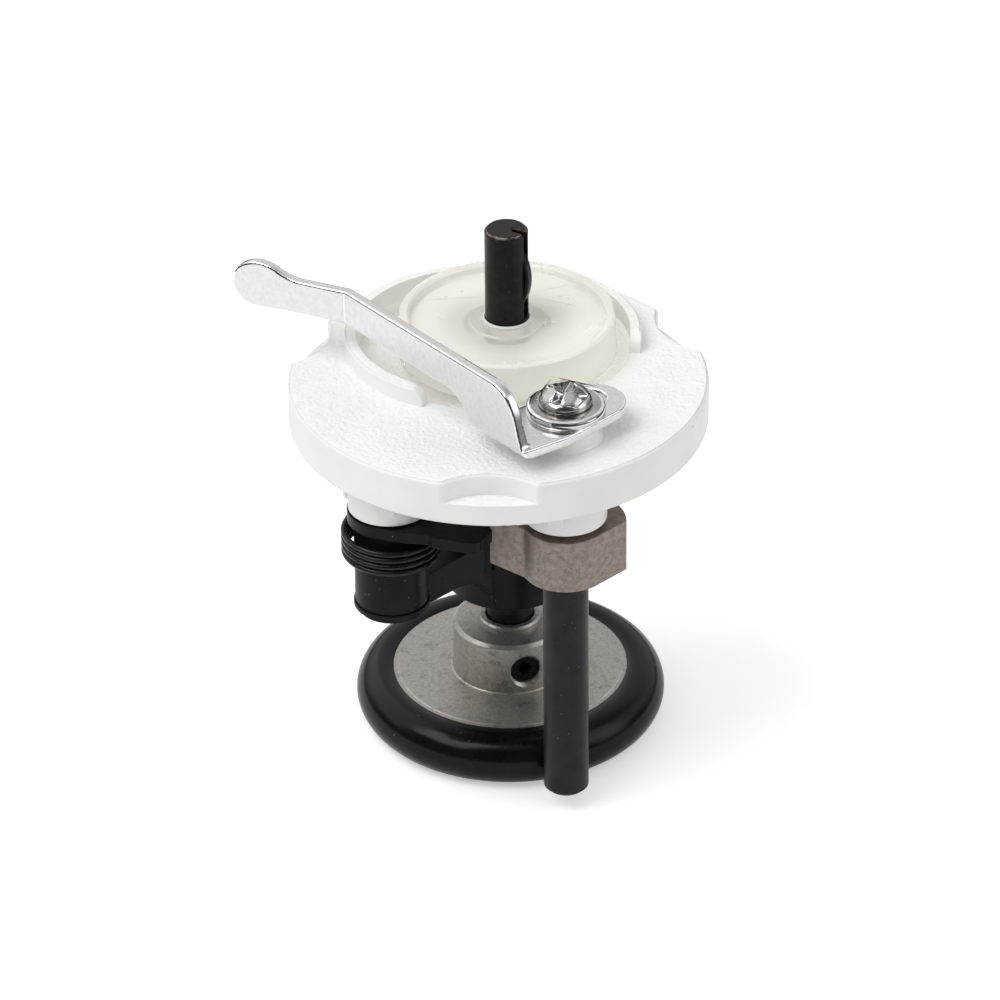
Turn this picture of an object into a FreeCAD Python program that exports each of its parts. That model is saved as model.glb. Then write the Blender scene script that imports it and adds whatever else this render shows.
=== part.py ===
import FreeCAD, Part
import math
import os

from FreeCAD import Vector

# Bobbin winder of a sewing machine, in millimetres.
# Origin: on the bobbin spindle's axis, at the face of the table that the bobbin sits on.
# +Z runs up the spindle, +X to the right and +Y away from the side where the trip lever stands.
# The model is in its released state: the wheel is off the drive and the lever is away from the bobbin.

# Clearances
press_gap = 0.02
running_gap = 0.04
end_gap = 0.15
swing_gap = 0.3

# Bobbin spindle
spindle_radius = 3.05
spindle_height = 14.4
spindle_chamfer = 0.4
journal_radius = 2.5
journal_bottom = -64.0
journal_chamfer = 0.4

# Spring clip that grips the bobbin, in a slot down the spindle's right side
clip_turn = -28.0
slot_width = 1.2
slot_depth = 2.3
slot_bottom = 0.9
clip_side_gap = 0.1
clip_thickness = 0.5
clip_proud = 0.15
clip_bulge_height = 6.8
clip_half_length = 5.2
clip_sagitta = 1.1
clip_eye_radius = 0.85
clip_pin_radius = 0.5
clip_pin_x = 1.7
clip_pin_z = 2.1

# Bobbin table, a shallow cup that turns with the spindle
table_radius = 15.1
table_skirt_radius = 15.4
table_rim_height = 1.1
table_rim_wall = 1.4
table_rim_chamfer = 0.3
table_floor = 1.3
table_skirt_wall = 1.3
table_skirt_drop = 4.66
table_boss_radius = 6.1
table_boss_drop = 5.6
table_seat_radius = 5.2
table_seat_rise = 0.25

# Cover plate, a thick moulded disc with a recess for the table
plate_x = -1.3
plate_y = -8.45
plate_radius = 29.2
plate_top = -4.3
plate_thickness = 6.5
plate_edge_round = 0.6
plate_rim_wall = 2.4
plate_skin = 2.7
recess_radius = 17.0
recess_right_x = 0.2
recess_left_x = -4.2
recess_y = 0.3
recess_depth = 1.9
recess_wall = 2.0
recess_floor_skin = 2.4
ring_thickness = 1.6
ring_height = 2.6
ring_left_end = -114.0
ring_right_end = -9.0
ring_edge_round = 0.5
ring_end_run = 2.4
ring_end_fall = 1.9

# Notches in the plate's rim, each with a ledge at its foot
notch_angles = (-92.7, 25.9, 158.4)
notch_radius = 10.0
notch_offset = 36.1
notch_corner_round = 0.9
notch_depth = 3.2
notch_wall = 2.2

# Ribs under the plate
rib_angles = (205.0, 238.0, 268.0, 318.0, 350.0, 62.0, 118.0)
rib_thickness = 1.4
rib_short = 0.6

# Bosses under the plate
pivot_boss_radius = 5.8
pivot_boss_drop = 6.5
shaft_boss_radius = 5.75
shaft_boss_drop = 6.1
boss_tab_width = 2.3
boss_tab_proud = 0.45
boss_tab_drop = 5.0
pivot_tab_shift = -0.35
top_boss_radius = 4.95
top_boss_height = 2.4
top_boss_flare = 0.8

# Arm pivot
pivot_x = -16.45
pivot_y = -20.9
pivot_pin_radius = 2.5
pivot_pin_grip = 8.0
pivot_washer_radius = 5.3
pivot_washer_thickness = 0.7
clip_ring_radius = 4.6
clip_ring_thickness = 0.8
clip_ring_mouth = 3.4
clip_ring_groove = 0.6
clip_ring_relief_angle = 110.0
clip_ring_relief_reach = 0.62
pivot_pin_tail = 0.9

# Swing arm, and how far it swings
arm_swing = 4.5
flange_thickness = 1.75
collar_radius = 5.95
pivot_hub_radius = 5.1
pivot_hub_length = 14.7
carrier_radius = 9.0
carrier_length = 25.2
carrier_top_radius = 6.0
carrier_top_height = 2.6
carrier_bore_relief = 0.4
carrier_round = 0.3
web_angle = 44.0
web_front = 1.2
web_thickness = 4.0
web_top_drop = 13.3
web_depth = 4.85
web_bottom_arc = 8.0
flange_front_angle = 252.0
flange_brow_length = 3.9
flange_back_angle = 145.0
flange_ear_left = (-11.1, -28.3)
flange_ear_front_left = (-10.6, -29.1)
flange_ear_front_right = (-5.6, -30.6)
flange_ear_nose = (-4.3, -30.5)
flange_ear_right = (-3.7, -29.7)
flange_side_front = (-2.4, -27.5)
flange_side_middle = (-3.4, -24.2)
flange_side_finger = (-3.3, -22.0)
flange_side_gusset = (-1.5, -16.8)
flange_side_back = (0.9, -14.0)
flange_side_carrier = (4.5, -7.8)
web_slot_width = 1.8
web_slot_depth = 1.6
web_slot_length = 5.0
finger_width = 1.3
finger_depth = 3.0
finger_taper = 0.5
finger_x = -3.8
finger_y = -20.4
finger_length = 10.8
gusset_height = 3.6
catch_radius = 1.0
catch_depth = 6.8

# Bushes of the spindle
bush_wall = 1.0
bush_length = 6.0

# Sleeves that space the table and the wheel on the spindle
sleeve_radius = 3.3

# Return spring round the arm's pivot hub
wire_diameter = 0.8
coil_gap = 0.42
coil_radius = 6.5
coil_quarters = 15
coil_start_angle = 160.0
coil_start_drop = 0.9
upper_leg = 7.5
lower_leg = 4.0
leg_seat_gap = 0.15
lug_radius = 1.1
lug_overlap = 0.7

# Trip lever's shaft
shaft_x = 7.7
shaft_y = -24.65
shaft_radius = 3.175
shaft_journal_radius = 3.5
shaft_length = 60.3
shaft_chamfer = 0.5
shaft_bush_wall = 0.65
shaft_bush_inset = 0.1
shaft_thread_radius = 1.97
shaft_thread_depth = 11.0

# Trip lever, one bent strip
lever_thickness = 1.55
foot_lift = 0.1
fold_x = 1.4
fold_y = -35.05
fold_angle = 129.0
fold_width = 9.2
fold_reach = 0.8
fold_round = 1.5
fold_hollow = 0.7
foot_end_x = 11.4
foot_end_y = -22.0
foot_end_radius = 4.7
foot_bow_x = 13.0
foot_bow_y = -27.0
foot_bow_right = 0.65
foot_bow_front = 0.3
foot_tip_angle = 30.0
foot_right_angle = -35.0
foot_left_angle = 118.0
foot_slot_radius = 2.5
foot_slot_end_x = 10.75
foot_slot_end_y = -21.3
arm_bottom = 2.5
arm_height = 5.2
arm_length = 37.8
upright_lean = 18.5
upright_round = 5.2
upright_width = 10.6
upright_sweep = 4.6
sweep_along = 0.32
sweep_fall = 0.36

# The lever's handle, at distances from its crease and heights above the strip's lower edge
handle_bend = 27.0
handle_reach = 17.25
handle_neck = 6.8
handle_hollow = (8.6, 5.5)
handle_rise = (10.3, 6.2)
handle_crown = (12.9, 7.0)
handle_shoulder_angle = 56.0
handle_tip_radius = 3.43
handle_tip_height = 3.35
handle_sag = 0.1

# Lever screw and washer
washer_radius = 5.45
washer_thickness = 1.25
washer_bore = 2.4
washer_shift_x = 0.1
washer_shift_y = -0.3
screw_head_radius = 3.75
screw_head_side = 0.75
screw_dome_height = 2.0
screw_head_round = 0.3
screw_shank_radius = 1.95
screw_shank_length = 11.0
screw_cross_reach = 3.2
screw_cross_foot = 0.8
screw_cross_rise = 0.75
screw_cross_width = 1.3
screw_cross_depth = 2.1
screw_cross_core = 1.6
screw_cross_turn = -25.0

# Cam on the lever's shaft
cam_gap = 1.05
cam_radius = 5.95
cam_height = 7.9
cam_wing_radius = 10.6
cam_wing_start = 152.0
cam_wing_end = 169.6
cam_wing_root = 200.0
cam_lobe_radius = 8.4
cam_lobe_start = -1.0
cam_lobe_end = 112.0
cam_root_round = 2.0

# Set screws
cam_screw_radius = 1.5
cam_screw_angle = 60.0
wheel_screw_radius = 2.15
wheel_screw_angle = -74.0
wheel_screw_z = -53.9
set_screw_inset = 0.9
socket_radius = 1.1
socket_depth = 1.8
screw_hole_chamfer = 0.25

# Drive wheel
hub_radius = 8.25
hub_top = -49.55
hub_chamfer = 0.5
nose_radius = 4.6
nose_height = 0.85
nose_chamfer = 0.3
disc_top = -57.5
disc_thickness = 7.2
disc_fillet = 0.4
under_recess_depth = 2.4
under_recess_inner = 6.6
under_recess_outer = 13.4

# Friction tyre
tyre_section_radius = 3.9
tyre_radius = 22.35
tyre_groove_gap = 0.03

# What follows from the sizes above
plate_bottom = plate_top - plate_thickness
plate_centre = (plate_x, plate_y)
pivot = (pivot_x, pivot_y)
shaft = (shaft_x, shaft_y)
pivot_boss_bottom = plate_bottom - pivot_boss_drop
shaft_boss_bottom = plate_bottom - shaft_boss_drop
recess_floor = plate_top - recess_depth
ring_top = plate_top + ring_height
flange_top = pivot_boss_bottom - swing_gap
flange_bottom = flange_top - flange_thickness
pivot_hub_bottom = flange_top - pivot_hub_length
carrier_bottom = flange_top - carrier_length
carrier_top = flange_top + carrier_top_height
web_top = flange_top - web_top_drop
web_bottom = web_top - web_depth
coil_pitch = wire_diameter + coil_gap
coil_start = flange_bottom - coil_start_drop
cam_top = shaft_boss_bottom - cam_gap
cam_bottom = cam_top - cam_height
foot_bottom = plate_top + top_boss_height + foot_lift
foot_top = foot_bottom + lever_thickness
shaft_bottom = foot_bottom - shaft_length
arm_top = arm_bottom + arm_height
bush_radius = journal_radius + running_gap + bush_wall
disc_middle = disc_top - disc_thickness / 2
tyre_ring_radius = tyre_radius - tyre_section_radius


def direction(degrees):
    angle = math.radians(degrees)
    return Vector(math.cos(angle), math.sin(angle), 0)


def place(centre, degrees, distance, height=0.0):
    along = direction(degrees)
    return Vector(centre[0] + distance * along.x, centre[1] + distance * along.y, height)


def rod(radius, low, high, centre=(0.0, 0.0)):
    return Part.makeCylinder(radius, high - low, Vector(centre[0], centre[1], low))


def cross_rod(radius, start, along, length):
    return Part.makeCylinder(radius, length, start, along)


def hexagon(radius, start, along, length):
    circle = Part.makeCylinder(radius, length, start, along)
    side = along.cross(Vector(0, 0, 1))
    if side.Length < press_gap:
        side = Vector(1, 0, 0)
    side.normalize()
    corners = []
    for corner in range(7):
        turn = FreeCAD.Rotation(along, corner * 60)
        corners.append(start + turn.multVec(side * radius))
    prism = Part.Face(Part.makePolygon(corners)).extrude(along * length)
    return prism.common(circle)


def turned(profile, centre=(0.0, 0.0)):
    points = [Vector(radius, 0, height) for radius, height in profile]
    face = Part.Face(Part.makePolygon(points + points[:1]))
    solid = face.revolve(Vector(0, 0, 0), Vector(0, 0, 1), 360)
    solid.translate(Vector(centre[0], centre[1], 0))
    return solid


def radial_point(point):
    return Vector(point[0], 0, point[1])


def turned_face(start, steps, centre):
    # A solid of revolution whose outline may hold arcs, as closed_face takes them.
    solid = closed_face(start, steps, radial_point).revolve(Vector(0, 0, 0), Vector(0, 0, 1), 360)
    solid.translate(Vector(centre[0], centre[1], 0))
    return solid


def flat_point(point):
    return Vector(point[0], point[1], 0)


def closed_face(start, steps, to_space):
    # A step is a point for a straight side, or a point to pass and a point to reach for an arc.
    edges = []
    here = start
    for step in steps + [start]:
        if isinstance(step[0], tuple):
            arc = Part.Arc(to_space(here), to_space(step[0]), to_space(step[1]))
            edges.append(arc.toShape())
            here = step[1]
        else:
            if (to_space(step) - to_space(here)).Length > press_gap / 10:
                edges.append(Part.LineSegment(to_space(here), to_space(step)).toShape())
            here = step
    return Part.Face(Part.Wire(edges))


def extruded(face, low, high):
    solid = face.extrude(Vector(0, 0, high - low))
    solid.translate(Vector(0, 0, low))
    return solid


def slot_bar(radius, low, high, first, last):
    # A bar with round ends whose centres are first and last.
    run = Vector(last[0] - first[0], last[1] - first[1], 0)
    side = Vector(-run.y, run.x, 0).normalize() * radius
    cap = Vector(run).normalize() * radius
    start = (first[0] + side.x, first[1] + side.y)
    steps = [
        ((first[0] - cap.x, first[1] - cap.y), (first[0] - side.x, first[1] - side.y)),
        (last[0] - side.x, last[1] - side.y),
        ((last[0] + cap.x, last[1] + cap.y), (last[0] + side.x, last[1] + side.y)),
    ]
    return extruded(closed_face(start, steps, flat_point), low, high)


def edges_at_height(shape, height):
    near = press_gap / 2
    return [edge for edge in shape.Edges
            if abs(edge.BoundBox.ZMin - height) < near and abs(edge.BoundBox.ZMax - height) < near]


def recess_bar(radius, low, high):
    return slot_bar(radius, low, high, (recess_left_x, recess_y), (recess_right_x, recess_y))


# Cover plate
def notch_centre(angle):
    point = place(plate_centre, angle, notch_offset)
    return (point.x, point.y)


def plate_cavity():
    inner_radius = plate_radius - plate_rim_wall
    floor_low = recess_floor - recess_floor_skin
    skin_low = plate_top - plate_skin
    under_recess = recess_bar(recess_radius + recess_wall, floor_low, skin_low)
    cavity = rod(inner_radius, floor_low, skin_low, plate_centre).cut(under_recess)
    cavity = cavity.fuse(rod(inner_radius, plate_bottom, floor_low, plate_centre))
    cavity = cavity.cut(rod(pivot_boss_radius, plate_bottom, skin_low, pivot))
    cavity = cavity.cut(rod(shaft_boss_radius, plate_bottom, skin_low, shaft))
    for angle in notch_angles:
        cavity = cavity.cut(rod(notch_radius + notch_wall, plate_bottom, skin_low, notch_centre(angle)))
    for angle in rib_angles:
        rib_height = skin_low - plate_bottom - rib_short
        rib = Part.makeBox(plate_radius, rib_thickness, rib_height,
                           Vector(0, -rib_thickness / 2, plate_bottom + rib_short))
        rib.rotate(Vector(0, 0, 0), Vector(0, 0, 1), angle)
        rib.translate(Vector(plate_x, plate_y, 0))
        cavity = cavity.cut(rib.cut(recess_bar(recess_radius, plate_bottom, skin_low)))
    return cavity


def ring_wall():
    ring = recess_bar(recess_radius + ring_thickness, recess_floor, ring_top)
    ring = ring.makeFillet(ring_edge_round, edges_at_height(ring, ring_top))
    ring = ring.cut(recess_bar(recess_radius, recess_floor, ring_top))
    left = (recess_left_x, recess_y)
    right = (recess_right_x, recess_y)
    reach = 2 * plate_radius
    far_left = place(left, ring_left_end, reach)
    far_right = place(right, ring_right_end, reach)
    corners = [Vector(left[0], left[1], 0), far_left, Vector(far_right.x, far_left.y, 0), far_right,
               Vector(right[0], right[1], 0)]
    open_side = extruded(Part.Face(Part.makePolygon(corners + corners[:1])), recess_floor, ring_top)
    ring = ring.cut(open_side)
    return ring.cut(curved_end(left, ring_left_end, 90)).cut(curved_end(right, ring_right_end, -90))


def curved_end(centre, angle, side):
    # Cuts the top of the wall's end to a curve that falls towards the opening.
    start = place(centre, angle, recess_radius - ring_thickness)
    along = direction(angle + side)
    low = ring_top - ring_end_fall
    high = ring_top + ring_end_fall
    share = 1 - math.sin(math.pi / 4)
    face = closed_face(
        (-ring_end_run, ring_top),
        [((-ring_end_run * share, ring_top - ring_end_fall * share), (0.0, low)),
         (ring_end_run, low), (ring_end_run, high), (-ring_end_run, high)],
        lambda point: start + along * point[0] + Vector(0, 0, point[1]))
    return face.extrude(direction(angle) * 3 * ring_thickness)


def boss_tab(centre, boss_radius, tab_x):
    depth = boss_radius + boss_tab_proud
    tab = Part.makeBox(boss_tab_width, depth, boss_tab_drop,
                       Vector(tab_x, centre[1] - depth, plate_bottom - boss_tab_drop))
    lower = [edge for edge in edges_at_height(tab, plate_bottom - boss_tab_drop)
             if edge.BoundBox.YLength > boss_tab_proud]
    return tab.makeFillet(boss_tab_proud, lower)


def top_boss():
    # Stands under the lever's foot and widens where it meets the plate.
    high = plate_top + top_boss_height
    wide = top_boss_radius + top_boss_flare
    profile = [(0.0, high), (top_boss_radius, high), (top_boss_radius, plate_top + top_boss_flare)]
    middle = top_boss_flare * (1 - math.sin(math.pi / 4))
    arc = ((top_boss_radius + middle, plate_top + middle), (wide, plate_top))
    low = plate_top - plate_skin / 2
    return turned_face(profile[0], profile[1:] + [arc, (wide, low), (0.0, low)], shaft)


def plate_disc():
    # The disc with its notches, rounded at the corners of the notches and all round the top and bottom.
    ledge = plate_top - notch_depth
    disc = rod(plate_radius, plate_bottom, plate_top, plate_centre)
    for angle in notch_angles:
        disc = disc.cut(rod(notch_radius, ledge, plate_top, notch_centre(angle)))
    corners = [edge for edge in disc.Edges
               if abs(edge.BoundBox.ZMin - ledge) < press_gap and edge.BoundBox.ZLength > notch_depth / 2]
    disc = disc.makeFillet(notch_corner_round, corners)
    outline = edges_at_height(disc, plate_top) + edges_at_height(disc, plate_bottom)
    return disc.makeFillet(plate_edge_round, outline)


def make_base_plate():
    body = plate_disc()
    body = body.cut(plate_cavity())
    body = body.fuse(ring_wall())
    skin_middle = plate_top - plate_skin / 2
    body = body.fuse(rod(pivot_boss_radius, pivot_boss_bottom, skin_middle, pivot))
    body = body.fuse(rod(shaft_boss_radius, shaft_boss_bottom, skin_middle, shaft))
    body = body.fuse(boss_tab(pivot, pivot_boss_radius, pivot_x + pivot_tab_shift - boss_tab_width / 2))
    body = body.fuse(boss_tab(shaft, shaft_boss_radius, shaft_x - boss_tab_width - swing_gap))
    body = body.fuse(top_boss())
    body = body.fuse(rod(lug_radius, lug_bottom(), skin_middle, lug_centre()))
    body = body.cut(recess_bar(recess_radius, recess_floor, ring_top))
    travel = arm_travel()
    hole_radius = sleeve_radius + travel.Length / 2 + 2 * swing_gap + end_gap
    hole_centre = (travel.x / 2, travel.y / 2)
    body = body.cut(rod(hole_radius, plate_bottom, recess_floor, hole_centre))
    pin_top = pivot_boss_bottom + pivot_pin_grip
    body = body.cut(rod(pivot_pin_radius + press_gap, pivot_boss_bottom, pin_top, pivot))
    bush_outer = shaft_journal_radius + running_gap + shaft_bush_wall
    body = body.cut(rod(bush_outer + press_gap, shaft_boss_bottom, plate_top + top_boss_height, shaft))
    return body.removeSplitter()


def arm_travel():
    # How far the arm's full swing carries the spindle.
    turn = FreeCAD.Rotation(Vector(0, 0, 1), arm_swing)
    from_pivot = Vector(-pivot_x, -pivot_y, 0)
    return turn.multVec(from_pivot) - from_pivot


def make_lever_bush():
    inner = shaft_journal_radius + running_gap
    low = cam_top + end_gap
    high = plate_top + top_boss_height - shaft_bush_inset
    return rod(inner + shaft_bush_wall, low, high, shaft).cut(rod(inner, low, high, shaft))


def make_pivot_pin():
    low = pivot_hub_bottom - end_gap - pivot_washer_thickness - clip_ring_thickness - pivot_pin_tail
    groove_low = low + pivot_pin_tail - press_gap
    groove_high = groove_low + clip_ring_thickness + 2 * press_gap
    pin = rod(pivot_pin_radius, low, pivot_boss_bottom + pivot_pin_grip - press_gap, pivot)
    groove = rod(pivot_pin_radius, groove_low, groove_high, pivot)
    groove = groove.cut(rod(pivot_pin_radius - clip_ring_groove, groove_low, groove_high, pivot))
    return pin.cut(groove)


def make_pivot_washer():
    high = pivot_hub_bottom - end_gap
    low = high - pivot_washer_thickness
    return rod(pivot_washer_radius, low, high, pivot).cut(
        rod(pivot_pin_radius + running_gap, low, high, pivot))


def make_clip_ring():
    high = pivot_hub_bottom - end_gap - pivot_washer_thickness
    low = high - clip_ring_thickness
    inner = pivot_pin_radius - clip_ring_groove + press_gap
    ring = rod(clip_ring_radius, low, high, pivot).cut(rod(inner, low, high, pivot))
    mouth = Part.makeBox(clip_ring_mouth, clip_ring_radius * 2, clip_ring_thickness,
                         Vector(-clip_ring_mouth / 2, 0, low))
    mouth.translate(Vector(pivot_x, pivot_y, 0))
    ring = ring.cut(mouth)
    for side in (-1, 1):
        relief = place(pivot, 90 + side * clip_ring_relief_angle, clip_ring_radius * clip_ring_relief_reach)
        ring = ring.cut(rod(clip_ring_groove, low, high, (relief.x, relief.y)))
    return ring


# Swing arm
def along_web(point):
    # A point of the web's front face, at a distance along it and a height.
    start = Vector(pivot_x, pivot_y, 0) + web_outward() * web_front
    reach = direction(web_angle) * point[0]
    return start + reach + Vector(0, 0, point[1])


def web_outward():
    return direction(web_angle - 90)


def web_span():
    # Along the web's front face, where it stands beside the spindle's axis.
    return (direction(web_angle) * -1).dot(Vector(pivot_x, pivot_y, 0))


def web_end():
    # Along the web's front face, where it meets the carrier.
    aside = web_outward().dot(along_web((0.0, 0.0)))
    return web_span() - math.sqrt(carrier_radius ** 2 - aside ** 2)


def arm_web():
    span = web_span()
    foot = pivot_washer_radius + swing_gap
    end = web_end()
    arc_start = end - web_bottom_arc
    drop = web_bottom - carrier_bottom
    arc_middle = (arc_start + web_bottom_arc * math.sin(math.pi / 4),
                  web_bottom - drop * (1 - math.cos(math.pi / 4)))
    steps = [
        (span, web_top),
        (span, carrier_bottom),
        (end, carrier_bottom),
        (arc_middle, (arc_start, web_bottom)),
        (foot, web_bottom),
        (foot, pivot_hub_bottom),
        (0.0, pivot_hub_bottom),
    ]
    face = closed_face((0.0, web_top), steps, along_web)
    return face.extrude(web_outward() * -web_thickness)


def arm_flange():
    start = place(pivot, 180, collar_radius)
    bow = place(pivot, (180 + flange_front_angle) / 2, collar_radius)
    front = place(pivot, flange_front_angle, collar_radius)
    brow = front + direction(flange_front_angle + 90) * flange_brow_length
    back = place((0.0, 0.0), flange_back_angle, carrier_radius)
    steps = [
        ((bow.x, bow.y), (front.x, front.y)),
        (brow.x, brow.y),
        flange_ear_left,
        flange_ear_front_left,
        flange_ear_front_right,
        (flange_ear_nose, flange_ear_right),
        flange_side_front,
        flange_side_middle,
        flange_side_finger,
        (finger_x + finger_width, finger_y),
        flange_side_gusset,
        flange_side_back,
        flange_side_carrier,
        (back.x, back.y),
    ]
    return extruded(closed_face((start.x, start.y), steps, flat_point), flange_bottom, flange_top)


def cam_finger():
    low = flange_bottom - finger_length
    face = closed_face(
        (finger_x, flange_bottom + flange_thickness / 2),
        [(finger_x + finger_taper, low), (finger_x + finger_width, low),
         (finger_x + finger_width, flange_bottom + flange_thickness / 2)],
        lambda point: Vector(point[0], finger_y, point[1]))
    finger = face.extrude(Vector(0, finger_depth, 0))
    gusset_back = -carrier_radius + swing_gap
    gusset = Part.makeBox(finger_width, gusset_back - finger_y, gusset_height,
                          Vector(finger_x, finger_y, flange_bottom - gusset_height + press_gap))
    return finger.fuse(gusset)


def spindle_bore():
    low = carrier_bottom
    middle_radius = bush_radius - carrier_bore_relief
    bore = rod(middle_radius, low, carrier_top)
    bore = bore.fuse(rod(bush_radius + press_gap, low, low + bush_length))
    return bore.fuse(rod(bush_radius + press_gap, carrier_top - bush_length, carrier_top))


def make_swing_arm():
    arm = arm_flange()
    arm = arm.fuse(rod(collar_radius, flange_bottom, flange_top, pivot))
    arm = arm.fuse(rod(pivot_hub_radius, pivot_hub_bottom, flange_top, pivot))
    carrier = rod(carrier_radius, carrier_bottom, flange_top)
    arm = arm.fuse(carrier.makeFillet(carrier_round, edges_at_height(carrier, carrier_bottom)))
    arm = arm.fuse(rod(carrier_top_radius, flange_bottom, carrier_top))
    arm = arm.fuse(arm_web())
    arm = arm.fuse(cam_finger())
    arm = arm.fuse(rod(catch_radius, flange_bottom - catch_depth, flange_top, catch_centre()))
    bore = pivot_pin_radius + running_gap
    arm = arm.cut(rod(bore, pivot_hub_bottom, flange_top, pivot))
    arm = arm.cut(spindle_bore())
    arm = arm.cut(web_slot())
    return arm.removeSplitter()


def web_slot():
    end = web_end()
    low = web_top - web_slot_length
    corners = [(end - web_slot_width, low), (end, low), (end, web_top), (end - web_slot_width, web_top)]
    face = closed_face(corners[0], corners[1:], along_web)
    slot = face.extrude(web_outward() * (web_slot_depth + web_thickness))
    slot.translate(web_outward() * -web_slot_depth)
    return slot


def make_bush(low):
    inner = journal_radius + running_gap
    return rod(bush_radius, low, low + bush_length).cut(rod(inner, low, low + bush_length))


# Return spring
def coil_point(turned_angle, height):
    return place(pivot, coil_start_angle + turned_angle, coil_radius, height)


def coil_tangent(turned_angle):
    circle_step = coil_radius * math.pi / 2
    flat = direction(coil_start_angle + turned_angle + 90)
    return Vector(flat.x * circle_step, flat.y * circle_step, -coil_pitch / 4).normalize()


def biarc(start, start_way, end, end_way):
    # Two arcs that meet smoothly, from one point and direction to another.
    chord = end - start
    ways = start_way + end_way
    square = 2 * (1 - start_way.dot(end_way))
    if abs(square) < 1e-9:
        reach = chord.Length ** 2 / (4 * chord.dot(end_way))
    else:
        across = chord.dot(ways)
        reach = (-across + math.sqrt(across ** 2 + square * chord.Length ** 2)) / square
    first_corner = start + start_way * reach
    last_corner = end - end_way * reach
    middle = (first_corner + last_corner) * 0.5
    return [arc_from(start, first_corner, middle), arc_from(middle, last_corner, end)]


def arc_from(start, corner, end):
    # The arc that leaves start towards the corner and reaches end from it.
    half = (start + end) * 0.5
    to_corner = corner - half
    leg = (corner - start).Length
    half_chord = (end - start).Length / 2
    cosine = half_chord / leg
    sagitta = half_chord * math.sqrt((1 - cosine) / (1 + cosine))
    return Part.Arc(start, half + to_corner.normalize() * sagitta, end)


def spring_path():
    pieces = []
    first = coil_point(0, coil_start)
    first_way = coil_tangent(0)
    pieces.append(Part.LineSegment(first - first_way * upper_leg, first))
    here = first
    for quarter in range(coil_quarters):
        turned_angle = 90 * (quarter + 1)
        there = coil_point(turned_angle, coil_start - coil_pitch * (quarter + 1) / 4)
        pieces += biarc(here, coil_tangent(turned_angle - 90), there, coil_tangent(turned_angle))
        here = there
    last_way = coil_tangent(90 * coil_quarters)
    pieces.append(Part.LineSegment(here, here + last_way * lower_leg))
    return pieces


def spring_gap(pieces):
    # Least distance between the wire and itself, from points along its centre line.
    points = []
    travelled = []
    length = 0.0
    for piece in pieces:
        steps = 12
        for step in range(steps):
            at = piece.FirstParameter + (piece.LastParameter - piece.FirstParameter) * step / steps
            points.append(piece.value(at))
            travelled.append(length + piece.length() * step / steps)
        length += piece.length()
    least = math.inf
    for one in range(len(points)):
        for other in range(one + 1, len(points)):
            if travelled[other] - travelled[one] > math.pi * coil_radius:
                least = min(least, points[one].distanceToPoint(points[other]))
    return least - wire_diameter


def make_return_spring():
    pieces = spring_path()
    print("return spring: least gap to itself", round(spring_gap(pieces), 3), "mm")
    path = Part.Wire([piece.toShape() for piece in pieces])
    start = pieces[0].value(pieces[0].FirstParameter)
    section = Part.Wire(Part.makeCircle(wire_diameter / 2, start, coil_tangent(0)))
    spring = path.makePipeShell([section], True, False)
    length = sum(piece.length() for piece in pieces)
    expected = math.pi * (wire_diameter / 2) ** 2 * length
    print("return spring: volume", round(spring.Volume, 3), "section times length", round(expected, 3))
    return spring


def leg_anchor(turned_angle, sense, leg, post_radius):
    # Where a post stands so that the end of a spring's leg bears on it from the coil's side.
    start = coil_point(turned_angle, 0)
    along = direction(coil_start_angle + turned_angle + 90) * sense
    outward = direction(coil_start_angle + turned_angle)
    inset = post_radius + wire_diameter / 2
    aside = wire_diameter / 2 + leg_seat_gap + post_radius
    point = start + along * (leg - inset) + outward * aside
    return (point.x, point.y)


def lug_centre():
    return leg_anchor(0, -1, upper_leg, lug_radius)


def lug_bottom():
    return coil_start - lug_overlap


def catch_centre():
    return leg_anchor(90 * coil_quarters, 1, lower_leg, catch_radius)


# Spindle and what turns with it
def make_spindle():
    upper = turned([(0, 0), (spindle_radius, 0), (spindle_radius, spindle_height - spindle_chamfer),
                    (spindle_radius - spindle_chamfer, spindle_height), (0, spindle_height)])
    lower = turned([(0, 0), (0, journal_bottom), (journal_radius - journal_chamfer, journal_bottom),
                    (journal_radius, journal_bottom + journal_chamfer), (journal_radius, 0)])
    slot = Part.makeBox(slot_depth + spindle_radius, slot_width, spindle_height,
                        Vector(spindle_radius - slot_depth, -slot_width / 2, slot_bottom))
    # The round wall starts and ends in the slot, so both turn together.
    for piece in (upper, slot):
        piece.rotate(Vector(0, 0, 0), Vector(0, 0, 1), clip_turn)
    hole = clip_cross(clip_pin_radius + press_gap, 2 * spindle_radius)
    return upper.fuse(lower).cut(slot).cut(hole).removeSplitter()


def clip_point(point):
    # A point in the clip's middle plane, at a distance from the spindle's axis and a height.
    return direction(clip_turn) * point[0] + Vector(0, 0, point[1])


def clip_cross(radius, length):
    # A rod across the slot, along the axis that the clip turns on.
    across = direction(clip_turn + 90)
    return cross_rod(radius, clip_point((clip_pin_x, clip_pin_z)) - across * (length / 2), across, length)


def make_clip_pin():
    # Its ends are ground to the spindle's round.
    pin = clip_cross(clip_pin_radius, 2 * spindle_radius)
    return pin.common(rod(spindle_radius, 0.0, spindle_height))


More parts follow.
